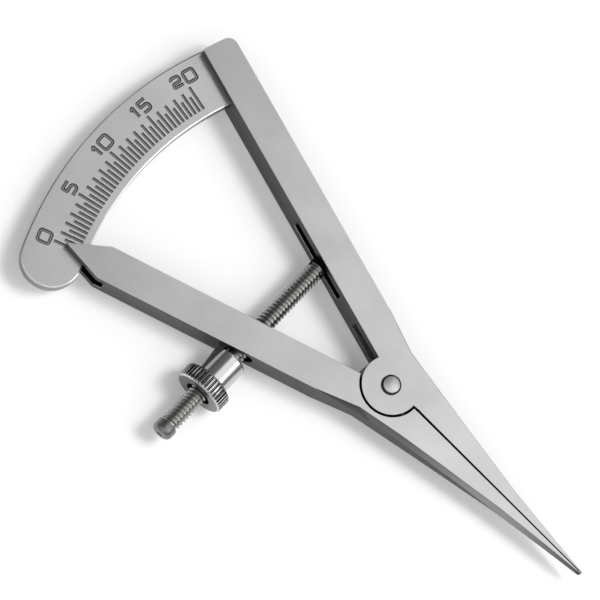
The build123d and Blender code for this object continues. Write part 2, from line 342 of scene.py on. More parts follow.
def steel(name, colour, roughness, grain=0.16, streak=1.0, relief=0.003, mottle=0.06, shoulder=1.0, tip=1.0):
    """Stainless steel whose finish was given by an abrasive of that grain, in millimetres.

    The streak stretches the grain along X, the relief is the depth of its scratches and the mottle is how far
    handling marks lighten or darken it. The shoulder is the share of its colour that it keeps at the shoulder
    of the jaws, as painted shade, and the tip the share that it keeps at their tips, where it is darker. Real
    grinding marks are only hundredths of a millimetre wide and wouldn't show, so the grain is drawn coarser.
    """
    if name in bpy.data.materials:
        return bpy.data.materials[name]
    material = bpy.data.materials.new(name)
    tree = empty_tree(material)
    place = add_node(tree, "ShaderNodeTexCoord")
    turned = add_node(
        tree, "ShaderNodeMapping", {"Vector": place.outputs["Object"], "Scale": (1 / streak, 1, 1)}
    )
    scratches = add_node(
        tree,
        "ShaderNodeTexNoise",
        {"Vector": turned.outputs["Vector"], "Scale": 1 / (grain * MM), "Detail": 4.0, "Roughness": 0.65},
    )
    handling = add_node(
        tree,
        "ShaderNodeTexNoise",
        {
            "Vector": place.outputs["Object"],
            "Scale": 1 / (HANDLING_MARK * MM),
            "Detail": 3.0,
            "Roughness": 0.55,
        },
    )
    patches = add_node(
        tree,
        "ShaderNodeMapRange",
        {
            "Value": handling.outputs["Fac"],
            "From Min": 0.3,
            "From Max": 0.7,
            "To Min": 1 - mottle,
            "To Max": 1 + mottle,
        },
    )
    speckle = add_node(
        tree,
        "ShaderNodeMapRange",
        {
            "Value": scratches.outputs["Fac"],
            "From Min": 0.25,
            "From Max": 0.75,
            "To Min": 1 - mottle / 2,
            "To Max": 1 + mottle / 2,
        },
    )
    shade = add_node(
        tree,
        "ShaderNodeMath",
        {0: patches.outputs["Result"], 1: speckle.outputs["Result"]},
        operation="MULTIPLY",
    )
    along = add_node(tree, "ShaderNodeSeparateXYZ", {"Vector": place.outputs["Object"]})
    # Painted shade at the jaws' shoulder, and a darkening towards the tips
    painted_shoulder_shade = add_node(
        tree,
        "ShaderNodeMapRange",
        {"Value": along.outputs["X"], **SHOULDER_SHADE, "To Min": shoulder, "To Max": 1.0},
    )
    tip_darkening = add_node(
        tree, "ShaderNodeMapRange", {"Value": along.outputs["X"], **TIP_DARKENING, "To Min": 1.0, "To Max": tip}
    )
    for darkening in (painted_shoulder_shade, tip_darkening):
        shade = add_node(
            tree,
            "ShaderNodeMath",
            {0: shade.outputs["Value"], 1: darkening.outputs["Result"]},
            operation="MULTIPLY",
        )
    tint = add_node(
        tree, "ShaderNodeVectorMath", {0: tuple(colour), "Scale": shade.outputs["Value"]}, operation="SCALE"
    )
    worn = add_node(
        tree,
        "ShaderNodeMapRange",
        {
            "Value": scratches.outputs["Fac"],
            "From Min": 0.2,
            "From Max": 0.8,
            "To Min": roughness * 0.85,
            "To Max": min(1.0, roughness * 1.15),
        },
    )
    bumps = add_node(
        tree, "ShaderNodeBump", {"Height": scratches.outputs["Fac"], "Distance": relief * MM, "Strength": 0.6}
    )
    shader = add_node(
        tree,
        "ShaderNodeBsdfPrincipled",
        {
            "Base Color": tint.outputs["Vector"],
            "Metallic": 1.0,
            "Roughness": worn.outputs["Result"],
            "Normal": bumps.outputs["Normal"],
        },
    )
    add_node(tree, "ShaderNodeOutputMaterial", {"Surface": shader.outputs["BSDF"]})
    return material


def steels():
    """The finishes of the instrument, by the way that each surface was made, and the painted shade of its
    sides, joints and grooves.
    """
    finish = bpy.context.scene.caliper_finish
    return {
        # Surface-ground flats: an even, soft light grey
        "ground": steel("satin_ground_steel", finish.face_colour, 0.3),
        # Milled sides, painted darker as shade, and a little coarser, with the marks running along them
        "side_shade": steel("painted_side_shade_steel", finish.side_colour, 0.42, grain=0.2, streak=6.0),
        # Hand-filed facets along the jaws: between the two, painted shade at the shoulder, darker at the tips
        "facet": steel(
            "facet_steel_shaded_at_shoulder", finish.facet_colour, 0.36, grain=0.18, streak=5.0, shoulder=0.42, tip=0.35
        ),
        # Sheared or turned ends, left as they were cut: a flat mid grey
        "faced": steel("faced_end_steel", finish.faced_colour, 0.38, grain=0.12),
        # Slots, joints, bores and creases, painted almost black as shade
        "recess": steel("painted_shade_steel", finish.recess_colour, 0.6, grain=0.25, relief=0.02),
        # The plate is cut from ground sheet: the lightest of the flats
        "plate": steel("satin_plate_steel", finish.plate_colour, 0.3),
        # Engraved walls and floors, painted as the grooves' shade: dark outlines round a mid-grey floor
        "engraving": steel("groove_wall_shade_steel", finish.engraving_colour, 0.45, grain=0.1),
        "groove_floor_shade": steel("groove_floor_shade_steel", finish.engraving_floor, 0.45, grain=0.1),
        # The nut, buffed after knurling: bright, with clear reflections
        "polished": steel("polished_steel", finish.polished_colour, 0.2, grain=0.3, mottle=0.05),
        # Rivet head closed with a snap and rubbed down: the same metal, with softer reflections
        "snapped": steel("burnished_rivet_steel", finish.plate_colour, 0.5, grain=0.3, mottle=0.05),
        # The rod and its thread, as they left the lathe: a little warmer and greyer, and still shiny
        "turned": steel("turned_steel", finish.turned_colour, 0.28, grain=0.15),
    }


def make_mesh(name, bm, materials):
    """Turns a bmesh into a mesh with its materials."""
    mesh = bpy.data.meshes.new(name)
    bm.to_mesh(mesh)
    bm.free()
    for material in materials:
        mesh.materials.append(material)
    return mesh


def add_object(name, data):
    """Puts a new object with that mesh, lamp or camera into the scene."""
    made = bpy.data.objects.new(name, data)
    bpy.context.scene.collection.objects.link(made)
    return made


def shade_mesh(mesh, sharp):
    """Shades a mesh smooth, but hard at the edges past that angle in degrees."""
    mesh.shade_smooth()
    mesh.set_sharp_from_angle(angle=math.radians(sharp))


def finish_mesh(name, bm, body, replaced, materials, sharp=30.0):
    """Turns a bmesh into a shown piece that rides on a body and stands for CAD nodes."""
    mesh = make_mesh(name, bm, materials)
    shade_mesh(mesh, sharp)
    piece = add_object(name, mesh)
    # Weighted normals keep each ground face flat right up to its broken edge
    level = piece.modifiers.new("flat_faces", "WEIGHTED_NORMAL")
    level.mode = "FACE_AREA"
    level.weight = 100
    level.keep_sharp = True
    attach(piece, body)
    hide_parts(*replaced)
    return piece


def copy_node(node):
    """A welded copy of a CAD node's mesh, with its flat faces whole."""
    bm = bmesh.new()
    bm.from_mesh(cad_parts[node].data)
    bmesh.ops.remove_doubles(bm, verts=bm.verts[:], dist=WELD * MM)
    bmesh.ops.dissolve_limit(bm, angle_limit=math.radians(FLAT_WITHIN), verts=bm.verts[:], edges=bm.edges[:])
    return bm


def move(bm, geometry, way):
    """Moves the vertices of what an operator has made."""
    verts = [g for g in geometry if isinstance(g, bmesh.types.BMVert)]
    bmesh.ops.translate(bm, verts=verts, vec=way)


def break_edges(bm, width, sharper_than, segments=2, edges=None, clamp=True):
    """Bevels the sharp edges, as a finisher breaks them: all of them, or those of the given ones."""
    limit = math.radians(sharper_than)
    chosen = bm.edges if edges is None else edges
    sharp = [e for e in chosen if len(e.link_faces) == 2 and e.calc_face_angle(0) > limit]
    bmesh.ops.bevel(
        bm,
        geom=sharp,
        offset=width * MM,
        affect="EDGES",
        segments=segments,
        profile=0.5,
        material=-1,
        clamp_overlap=clamp,
    )


# The arms' landmarks
JAW_START_X = 3  # the parting face of the jaws lies beyond this
NOSE_X = 33.4  # the rounded noses of the tips begin here
JOINT_END_X = 33.45  # joint edges that reach further stay as they are
EAR_RADIUS = 4.4  # a little more than the radius of the ears
EAR_END_X = 3.8  # joint edges nearer the pivot than this belong to the ears,
EAR_SKIN_Z = 2  # and are on the outer skin when they are this far from the middle plane
SLOT_BAND = (0.7, 4.7)  # the walls of the slots lie so far across from the line through the pivot
SLOT_END_X = 4  # the slots end short of this
SLOT_HEIGHT = 0.75  # no slot wall reaches this share of the arm's half thickness
SHOULDER_X = -12  # the facets fade in beyond this
# Limits for the part of a face's normal along an axis: at 1 the face looks straight along that axis
FLAT = 0.95
SQUARE = 0.9
UPRIGHT = 0.3
FACET_LEAN = (0.12, 0.85)
JOINT_ANGLE, EDGE_ANGLE = 60, 50  # degrees past which an edge of the joint, or any other, is sharp
ARM_BREAK = 0.8  # widths of the breaks on the arms and on the small pieces, as shares of the edge break
SMALL_BREAK = 0.6
# The joint is broken in two passes. Only one side of the ring round the ear has an edge to break, so that
# break is wider.
EAR_SHARE = 2.4
JOINT_MERGE = 0.02  # vertices that a pass leaves nearer than this are one
# Finish slots of an arm; the sides and the recesses carry painted shade
GROUND, SHADED_SIDE, FACET, SHADED_RECESS = range(4)


def looks_inward(face, middle):
    """Whether a face with that middle looks towards the pivot's axis."""
    return face.normal.x * middle.x + face.normal.y * middle.y < 0


def joint_edges(bm, side, around_ear):
    """The edges of an arm's joint on its outer skin: those round the ear, or along the jaw's parting face."""
    edges = set()
    for face in bm.faces:
        middle = face.calc_center_median() / MM
        parting = side * face.normal.y < -SQUARE and middle.x > JAW_START_X
        ear = looks_inward(face, middle) and middle.xy.length < EAR_RADIUS and not parting
        if abs(face.normal.z) < UPRIGHT and (ear if around_ear else parting):
            edges.update(face.edges)
    skin = []
    for edge in edges:
        nearest, furthest = sorted(v.co.x for v in edge.verts)
        outer = nearest > EAR_END_X * MM or min(abs(v.co.z) for v in edge.verts) > EAR_SKIN_Z * MM
        if outer and furthest < JOINT_END_X * MM and any(abs(f.normal.z) > FLAT for f in edge.link_faces):
            skin.append(edge)
    return skin


def arm_metal(face, side, spread, top):
    """Which finish a face of an arm has, by where it lies and how it leans."""
    lean = abs(face.normal.z)
    middle = face.calc_center_median() / MM
    across = middle.x * math.sin(spread) + side * middle.y * math.cos(spread)
    deepest = max(abs(v.co.z) for v in face.verts)
    # The cut noses of the tips get the sides' painted shade
    if middle.x > NOSE_X and lean < SQUARE:
        return SHADED_SIDE
    # The parting face of the jaw is painted near-black as shade, so the joint reads as a black line
    if middle.x > JAW_START_X and lean < FLAT and side * face.normal.y < -UPRIGHT:
        return SHADED_RECESS
    # The ears' inward walls and the slots' walls are painted near-black as shade
    if lean < FLAT and math.hypot(middle.x, middle.y) < EAR_RADIUS and looks_inward(face, middle):
        return SHADED_RECESS
    if deepest < SLOT_HEIGHT * top and SLOT_BAND[0] < across < SLOT_BAND[1] and middle.x < SLOT_END_X:
        return SHADED_RECESS
    # The facets fade in at the shoulder, past the side, whose colour is painted shade
    if FACET_LEAN[0] < lean < FACET_LEAN[1] and middle.x > SHOULDER_X:
        return FACET if middle.x > 0 else SHADED_SIDE
    # Upright sides are painted darker as shade
    return SHADED_SIDE if lean < UPRIGHT else GROUND


class CALIPER_OT_arms(bpy.types.Operator):
    """Gives both arms their broken edges, their ground and faceted faces and painted shade on sides, slots
    and joints
    """

    bl_idname = "caliper.arms"
    bl_label = "Dress the arms"

    def execute(self, context):
        finish = context.scene.caliper_finish
        metal = steels()
        spread = math.pi - context.scene.caliper_scale.arm_angle
        for node, body, side in (("scale_arm", "scale_arm", 1), ("pointer_arm", "pointer_arm", -1)):
            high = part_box(node)[1]
            bm = copy_node(node)
            everything = bm.verts[:] + bm.edges[:] + bm.faces[:]
            bmesh.ops.bisect_plane(
                bm, geom=everything, plane_co=Vector((NOSE_X, 0, 0)) * MM, plane_no=(1, 0, 0)
            )
            bm.normal_update()
            for around_ear in (True, False):
                width = finish.joint_break * (EAR_SHARE if around_ear else 1.0)
                break_edges(
                    bm, width, JOINT_ANGLE, segments=1, edges=joint_edges(bm, side, around_ear), clamp=False
                )
                bmesh.ops.remove_doubles(bm, verts=bm.verts[:], dist=JOINT_MERGE * MM)
                bm.normal_update()
            break_edges(bm, finish.edge_break * ARM_BREAK, EDGE_ANGLE, segments=1, clamp=False)
            bm.normal_update()
            for face in bm.faces:
                face.material_index = arm_metal(face, side, spread, high.z)
            metals = [metal[k] for k in ("ground", "side_shade", "facet", "recess")]
            finish_mesh(node + "_dressed", bm, body, [node], metals)
        return {"FINISHED"}


def polar(radius, angle, height=0.0):
    """A point in metres from a radius in millimetres about the pivot."""
    return Vector((radius * math.cos(angle), radius * math.sin(angle), height)) * MM


def outline_arc(bm, start, centre, angle, steps):
    """Spins one point into an arc of edges and returns the last point."""
    made = bmesh.ops.spin(
        bm, geom=[start], cent=centre, axis=UP, angle=angle, steps=steps, use_duplicate=False
    )
    return [g for g in made["geom_last"] if isinstance(g, bmesh.types.BMVert)][0]


# Numerals as an engraver's pantograph traces them: each starts at a point and a heading, then runs straight
# and turns, as (length, turn in degrees, radius of the turn), in shares of the numeral's height. The last
# value says whether the stroke closes on itself.
NUMERALS = {
    "0": (
        (0.0, -0.5), 0, [(0.28, 90, 0.2), (0.6, 90, 0.2), (0.56, 90, 0.2), (0.6, 90, 0.2), (0.28, 0, 0)], True
    ),
    "1": ((-0.2, 0.22), 48, [(0.3, -138, 0.05), (0.88, 0, 0)], False),
    "2": (
        (-0.4, 0.28),
        90,
        [(0.02, -90, 0.2), (0.36, -90, 0.2), (0.1, -90, 0.2), (0.36, 90, 0.2), (0.08, 90, 0.05), (0.8, 0, 0)],
        False,
    ),
    "5": (
        (0.42, 0.5),
        180,
        [(0.7, 90, 0.08), (0.3, 90, 0.06), (0.48, -90, 0.24), (0.06, -90, 0.24), (0.56, 0, 0)],
        False,
    ),
}
NUMERAL_WIDTH = {"0": 1.0, "1": 0.45, "2": 0.85, "5": 0.85}
NUMERAL_GAP = 0.34
FULL_READING = 20
OUTER_STEPS, LOBE_STEPS, INNER_STEPS = 90, 48, 80
PLATE_SHARP = 20.0  # degrees past which the plate's edges are shaded hard
FEWEST_FACES = 500  # a plate with fewer faces than this has lost its engraving
TURN_STEP = 15  # degrees of a numeral's turn that one step of the tool covers
PLATE_FACE, ENGRAVED_WALL, ENGRAVED_FLOOR, PLATE_EDGE = range(4)


def trace_stroke(bm, place, stroke, scale, width):
    """Runs a flat-nosed tool along a stroke: straight runs are extruded and turns are spun.

    The tool is as wide as the stroke at the surface and as wide as its floor at its lower end. It stands as
    far out of the surface as it sinks in.
    """
    start, heading, moves, closed = stroke
    size = bpy.context.scene.caliper_scale
    floor = width * size.flat_share
    depth = size.stroke_depth * MM
    turn = Matrix.Rotation(math.radians(heading), 4, "Z")
    spot = Vector((start[0] * scale, start[1] * scale, 0))
    ahead = turn @ Vector((1, 0, 0))
    here = place @ Matrix.Translation(spot) @ turn
    # A circle of four corners, turned square, stretched to the tool's section and stood across the stroke
    wide = 2 * width - floor
    across = Matrix.Rotation(math.radians(90), 4, "Y")
    stretched = Matrix.Diagonal((2 * depth, wide, 1, 1))
    squared = Matrix.Rotation(math.radians(45), 4, "Z")
    made = bmesh.ops.create_circle(
        bm,
        cap_ends=not closed,
        segments=4,
        radius=math.sqrt(0.5),
        matrix=here @ (across @ stretched @ squared),
    )
    ring = list({e for v in made["verts"] for e in v.link_edges})
    nose = [v for v in made["verts"] if (here.inverted() @ v.co).z < 0]
    bmesh.ops.scale(bm, vec=(1, floor / wide, 1), space=here.inverted(), verts=nose)
    axis = (place.to_3x3() @ UP).normalized()
    for length, angle, bend in moves:
        out = bmesh.ops.extrude_edge_only(bm, edges=ring)["geom"]
        verts = [g for g in out if isinstance(g, bmesh.types.BMVert)]
        ring = [e for e in out if isinstance(e, bmesh.types.BMEdge) and all(v in verts for v in e.verts)]
        bmesh.ops.translate(bm, verts=verts, vec=place.to_3x3() @ (ahead * length * scale))
        spot = spot + ahead * length * scale
        if angle:
            side = Vector((-ahead.y, ahead.x, 0)) * math.copysign(1, angle)
            out = bmesh.ops.spin(
                bm,
                geom=ring,
                cent=place @ (spot + side * bend * scale),
                axis=axis,
                angle=math.radians(angle),
                steps=max(2, int(abs(angle) / TURN_STEP)),
                use_duplicate=False,
            )
            ring = [e for e in out["geom_last"] if isinstance(e, bmesh.types.BMEdge)]
            swing = Matrix.Rotation(math.radians(angle), 4, "Z")
            spot = spot + side * bend * scale - swing @ (side * bend * scale)
            ahead = swing @ ahead
    if not closed:
        bmesh.ops.contextual_create(bm, geom=ring)


def plate_blank(size):
    """The curved plate with its rounded end and its chamfer, before it is engraved."""
    top = size.thickness / 2
    lobe = (size.outer_radius - size.inner_radius) / 2
    bm = bmesh.new()
    root_out = size.arm_angle - math.asin(size.seat_line / size.outer_radius)
    root_in = size.arm_angle - math.asin(size.seat_line / size.inner_radius)
    start = bm.verts.new(polar(size.outer_radius, root_out, -top))
    joint = outline_arc(bm, start, PIVOT, size.lobe_angle - root_out, OUTER_STEPS)
    centre = polar(size.inner_radius + lobe, size.lobe_angle, -top)
    joint = outline_arc(bm, joint, centre, math.pi, LOBE_STEPS)
    outline_arc(bm, joint, PIVOT, root_in - size.lobe_angle, INNER_STEPS)
    bmesh.ops.remove_doubles(bm, verts=bm.verts[:], dist=SEAM * MM)
    loose = [v for v in bm.verts if len(v.link_edges) == 1]
    bmesh.ops.contextual_create(bm, geom=loose)
    flat = bmesh.ops.contextual_create(bm, geom=bm.edges[:])["faces"]
    raised = bmesh.ops.extrude_face_region(bm, geom=flat)["geom"]
    wall = size.thickness - size.chamfer_depth
    move(bm, raised, UP * wall * MM)
    bmesh.ops.recalc_face_normals(bm, faces=bm.faces[:])
    lid = [f for f in bm.faces if f.normal.z > SQUARE]
    bmesh.ops.inset_region(
        bm,
        faces=lid,
        thickness=size.chamfer * MM,
        depth=size.chamfer_depth * MM,
        use_even_offset=True,
        use_boundary=True,
    )
    for face in bm.faces:
        face.material_index = PLATE_EDGE if abs(face.normal.z) < UPRIGHT else PLATE_FACE
    return bm


def engraving_tool(size):
    """The shape that the lines and numerals cut out of the plate."""
    top = size.thickness / 2
    bm = bmesh.new()
    halves = 2 * FULL_READING
    for half in range(halves + 1):
        angle = size.zero_angle - size.swing * half / halves
        outer = size.half_line if half % 2 else size.whole_line
        outer = size.fifth_line if half % 10 == 0 else outer
        place = Matrix.Translation(polar(size.line_start, angle, top)) @ Matrix.Rotation(angle, 4, "Z")
        run = [((outer - size.line_start) * MM, 0, 0)]
        trace_stroke(bm, place, ((0, 0), 0, run, False), 1, size.stroke * MM)
    for reading in range(0, FULL_READING + 1, 5):
        angle = size.zero_angle - size.swing * reading / FULL_READING
        upright = Matrix.Rotation(angle - math.radians(90), 4, "Z")
        place = Matrix.Translation(polar(size.numeral_radius, angle, top)) @ upright
        digits = str(reading)
        total = sum(NUMERAL_WIDTH[d] for d in digits) + NUMERAL_GAP * (len(digits) - 1)
        left = -total / 2
        for digit in digits:
            middle = (left + NUMERAL_WIDTH[digit] / 2) * size.numeral_height * MM
            shift = Matrix.Translation(Vector((middle, 0, 0)))
            height, width = size.numeral_height * MM, size.numeral_stroke * MM
            trace_stroke(bm, place @ shift, NUMERALS[digit], height, width)
            left += NUMERAL_WIDTH[digit] + NUMERAL_GAP
    bmesh.ops.remove_doubles(bm, verts=bm.verts[:], dist=2 * SEAM * MM)
    bmesh.ops.recalc_face_normals(bm, faces=bm.faces[:])
    # The engraving's walls get the darker painted shade, its floor a lighter one
    for face in bm.faces:
        face.material_index = ENGRAVED_FLOOR if abs(face.normal.z) > SQUARE else ENGRAVED_WALL
    return bm


class CALIPER_OT_scale_plate(bpy.types.Operator):
    """Builds the curved plate and engraves its lines and numerals"""

    bl_idname = "caliper.scale_plate"
    bl_label = "Make the scale plate"

    def execute(self, context):
        size = context.scene.caliper_scale
        metal = steels()
        metals = [metal[k] for k in ("plate", "engraving", "groove_floor_shade", "faced")]
        nodes = ["scale_plate"]
        blank = plate_blank(size)
        plate = finish_mesh("graduated_plate", blank, "scale_arm", nodes, metals, PLATE_SHARP)
        blade = add_object("engraving_tool", make_mesh("engraving_tool", engraving_tool(size), metals))
        # The engraving is cut for good, with the weighted normals off, so that they are worked out afterwards
        plate.modifiers["flat_faces"].show_viewport = False
        cut = plate.modifiers.new("engrave", "BOOLEAN")
        cut.operation = "DIFFERENCE"
        cut.solver = "EXACT"
        cut.use_self = True
        cut.object = blade
        context.view_layer.update()
        engraved = bpy.data.meshes.new_from_object(plate.evaluated_get(context.evaluated_depsgraph_get()))
        if len(engraved.polygons) < FEWEST_FACES:
            raise RuntimeError(f"the plate was not engraved: {len(engraved.polygons)} faces")
        plate.modifiers.remove(cut)
        plate.data = engraved
        shade_mesh(engraved, PLATE_SHARP)
        bpy.data.objects.remove(blade)
        plate.modifiers["flat_faces"].show_viewport = True
        return {"FINISHED"}


# One turn of the thread from crest to crest, as shares of its pitch and whether it is at the root
THREAD_PROFILE = ((0.0, False), (0.14, False), (0.45, True), (0.6, True), (0.86, False), (1.0, False))
SPARE_TURNS = 3  # cut away again where the thread starts and ends
OVERLAP = 0.1  # how far the plain ends reach into the thread
NECK_EDGE, END_EDGE = 0.04, 0.05  # widths of the rounded edges of the neck and of the relieved end
ROD_SEGMENTS, EYE_STEPS = 48, 24
ON_CUT = 1e-7  # metres within which an edge lies on the cut that ends the thread
FOOT = 0.6  # how far the eye's tongue reaches into the neck
FOOT_WIDTH = 0.98  # how wide the tongue is there, as a share of the eye
THREAD_SHARP = 24.0  # degrees past which the thread's edges are shaded hard


def thread(bm, size, swivel, axis):
    """Spins the thread's profile into one turn, repeats it and cuts both ends square."""
    crest = size.diameter / 2
    root = crest - size.depth
    first = size.thread_start - size.pitch * SPARE_TURNS / 2
    chain = []
    for share, sunk in THREAD_PROFILE:
        spot = axis * (first + share * size.pitch) + UP * (root if sunk else crest)
        chain.append(bm.verts.new(swivel + spot * MM))
    edges = [bm.edges.new(pair) for pair in zip(chain, chain[1:])]
    bmesh.ops.spin(
        bm,
        geom=edges,
        cent=swivel,
        axis=axis,
        dvec=axis * size.pitch * MM / size.facets,
        angle=math.tau,
        steps=size.facets,
        use_duplicate=False,
        use_merge=False,
    )
    # The turn rises by one pitch, so it doesn't close on itself: its end is welded to the start of the next
    one_turn = bm.verts[:] + bm.edges[:] + bm.faces[:]
    turns = int((size.thread_end - size.thread_start) / size.pitch) + SPARE_TURNS
    for turn in range(1, turns):
        copied = bmesh.ops.duplicate(bm, geom=one_turn)["geom"]
        move(bm, copied, axis * turn * size.pitch * MM)
    bmesh.ops.remove_doubles(bm, verts=bm.verts[:], dist=SEAM * MM)
    for distance, sign in ((size.thread_start, -1), (size.thread_end, 1)):
        cut = swivel + axis * distance * MM
        everything = bm.verts[:] + bm.edges[:] + bm.faces[:]
        bmesh.ops.bisect_plane(bm, geom=everything, plane_co=cut, plane_no=axis * sign, clear_outer=True)
        rim = []
        for edge in bm.edges:
            off_cut = max(abs((v.co - swivel).dot(axis) - distance * MM) for v in edge.verts)
            if edge.is_boundary and off_cut < ON_CUT:
                rim.append(edge)
        bmesh.ops.holes_fill(bm, edges=rim)
    bmesh.ops.recalc_face_normals(bm, faces=bm.faces[:])


def plain_ends(bm, size, swivel, axis):
    """Adds the plain neck towards the swivel and the relieved end beyond the thread."""
    crest = size.diameter / 2
    ends = (
        (size.neck_start, size.thread_start + OVERLAP, crest, NECK_EDGE),
        (size.thread_end - OVERLAP, size.length, crest - size.depth, END_EDGE),
    )
    along = Matrix.Rotation(math.radians(90), 4, "X")
    for low, high, radius, edge in ends:
        made = bmesh.ops.create_cone(
            bm,
            cap_ends=True,
            segments=ROD_SEGMENTS,
            radius1=radius * MM,
            radius2=radius * MM,
            depth=(high - low) * MM,
            matrix=Matrix.Translation(swivel + axis * (low + high) / 2 * MM) @ along,
        )
        ring = [e for e in {e for v in made["verts"] for e in v.link_edges} if e.calc_face_angle(0) > 1]
        bmesh.ops.bevel(
            bm,
            geom=ring,
            offset=edge * MM,
            affect="EDGES",
            segments=3,
            profile=0.5,
            material=-1,
            clamp_overlap=True,
        )


def flattened_eye(bm, size, swivel):
    """Adds the flattened eye, a tongue with a rounded end that swivels on its pin."""
    crest = size.diameter / 2
    half = size.eye_thickness / 2
    others = set(bm.verts)
    corner = bm.verts.new(swivel + Vector((crest, 0, -half)) * MM)
    outline_arc(bm, corner, swivel - UP * half * MM, math.pi, EYE_STEPS)
    arc = [v for v in bm.verts if v not in others]
    arc.sort(key=lambda v: math.atan2(v.co.y - swivel.y, v.co.x - swivel.x))
    foot = size.neck_start + FOOT
    wide = crest * FOOT_WIDTH
    ends = [bm.verts.new(swivel + Vector((x, -foot, -half)) * MM) for x in (-wide, wide)]
    tongue = bm.faces.new(arc + ends)
    # The eye is painted dark as the shade of the slot that it sits in
    tongue.material_index = 1
    raised = bmesh.ops.extrude_face_region(bm, geom=[tongue])["geom"]
    move(bm, raised, UP * size.eye_thickness * MM)
    bmesh.ops.recalc_face_normals(bm, faces=bm.faces[:])


class CALIPER_OT_spindle(bpy.types.Operator):
    """Cuts the spindle's thread and adds its neck and flattened eye"""

    bl_idname = "caliper.spindle"
    bl_label = "Make the spindle"

    def execute(self, context):
        size = context.scene.caliper_spindle
        metal = steels()
        swivel = Vector((size.swivel_x, size.swivel_y, 0)) * MM
        axis = Vector((0, -1, 0))
        bm = bmesh.new()
        thread(bm, size, swivel, axis)
        plain_ends(bm, size, swivel, axis)
        flattened_eye(bm, size, swivel)
        metals = [metal["turned"], metal["recess"]]
        nodes = ["threaded_spindle"]
        finish_mesh("cut_thread", bm, "spindle", nodes, metals, THREAD_SHARP)
        return {"FINISHED"}


BORE_REACH = 1.85  # faces of the nut that stay nearer its axis than this line the bore
KNURL_REACH = 3  # the knurl lies further out than this
KNURL_ANGLE = 40  # degrees past which an edge of the nut is sharp
CREST_FACING = 0.93  # how squarely the knurl's polished crests look outwards


class CALIPER_OT_nut(bpy.types.Operator):
    """Breaks the edges of the knurled nut, polishes it and paints shade into its bore and knurl"""

    bl_idname = "caliper.nut"
    bl_label = "Dress the thumb nut"

    def execute(self, context):
        metal = steels()
        low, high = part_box("thumb_nut")
        bm = copy_node("thumb_nut")
        break_edges(bm, context.scene.caliper_finish.edge_break * SMALL_BREAK, KNURL_ANGLE, segments=1)
        bm.normal_update()
        axis_x = (low.x + high.x) / 2
        # 0 is polished, 1 painted shade as in the slots and 2 faced
        for face in bm.faces:
            reach = max(math.hypot(v.co.x - axis_x, v.co.z) for v in face.verts)
            if reach < BORE_REACH * MM:
                face.material_index = 1
            elif face.normal.y < -SQUARE:
                face.material_index = 2
            elif reach > KNURL_REACH * MM and abs(face.normal.y) < UPRIGHT:
                # The cut sides of the knurl are painted dark as shade, its crests stay polished
                middle = face.calc_center_median()
                out = Vector((middle.x - axis_x, 0, middle.z)).normalized()
                face.material_index = 1 if face.normal.dot(out) < CREST_FACING else 0
        metals = [metal[k] for k in ("polished", "recess", "faced")]
        finish_mesh("knurled_nut", bm, "thumb_nut", ["thumb_nut"], metals)
        return {"FINISHED"}


# Heights of the crease under the rivet's domed head and of the rim above it
CREASE_START, RIM_START, RIM_END = 2.2, 2.48, 2.6
PIN_SHARP = 38.0  # degrees past which the small pieces' edges are shaded hard


class CALIPER_OT_pins(bpy.types.Operator):
    """Dresses the rivet, the pins and the stop at the end of the spindle"""

    bl_idname = "caliper.pins"
    bl_label = "Dress the rivet, pins and end stop"

    def execute(self, context):
        metal = steels()
        finish = context.scene.caliper_finish
        pieces = (
            ("pivot_rivet", "scale_arm", "pin_steel", ("snapped", "recess", "side_shade")),
            ("spindle_end_stop", "spindle", "spindle_steel", ("faced",)),
            ("scale_plate_pins", "scale_arm", "pin_steel", ("ground",)),
            ("spindle_pin", "scale_arm", "pin_steel", ("ground",)),
        )
        for node, body, slot, kinds in pieces:
            bm = copy_node(node)
            break_edges(bm, finish.edge_break * SMALL_BREAK, EDGE_ANGLE)
            for face in bm.faces if node == "pivot_rivet" else ():
                # The crease under the domed head is painted black as shade, and its rim gets the sides'
                # painted shade
                heights = [v.co.z / MM for v in face.verts]
                if min(heights) > CREASE_START and max(heights) < RIM_END:
                    face.material_index = 1 if max(heights) < RIM_START else 2
            metals = [metal[k] for k in kinds]
            finish_mesh(node + "_dressed", bm, body, [node], metals, PIN_SHARP)
        return {"FINISHED"}


def look_at(lamp, target):
    """Turns a lamp towards a point."""
    lamp.rotation_euler = (Vector(target) - lamp.location).to_track_quat("-Z", "Y").to_euler()


# How bright the room looks, by the direction in which the steel mirrors it
OVERHEAD = {"From Min": 0.2, "From Max": 0.9, "To Min": 0.15, "To Max": 1.0}
WINDOW_SIDE = (0.92, 0.38, 0)
WINDOW = {"From Min": 0.015, "From Max": 0.1, "To Min": 0.14, "To Max": 1.0}
FRONT_WINDOW = {"From Min": -0.05, "From Max": -0.4, "To Min": 0.0, "To Max": 0.85}
CARD_GLOW = 0.15  # how far the card's shaded parts are lifted towards white where the camera sees them
# Each lamp's name, place and width in metres, and its share of the key's power
SOFTBOXES = (
    ("key_softbox", (0.37, 0.32, 1.0), 0.36, 1.0),
    ("rim_softbox", (0.8, 0.33, 0.68), 0.35, 0.14),
    ("front_softbox", (0.1, -1.0, 0.35), 0.6, 0.08),
    ("left_softbox", (-1.0, 0.35, 0.25), 0.5, 0.07),
)
LAMP_TARGET = (-0.005, 0, 0)
SENSOR_WIDTH = 36  # millimetres


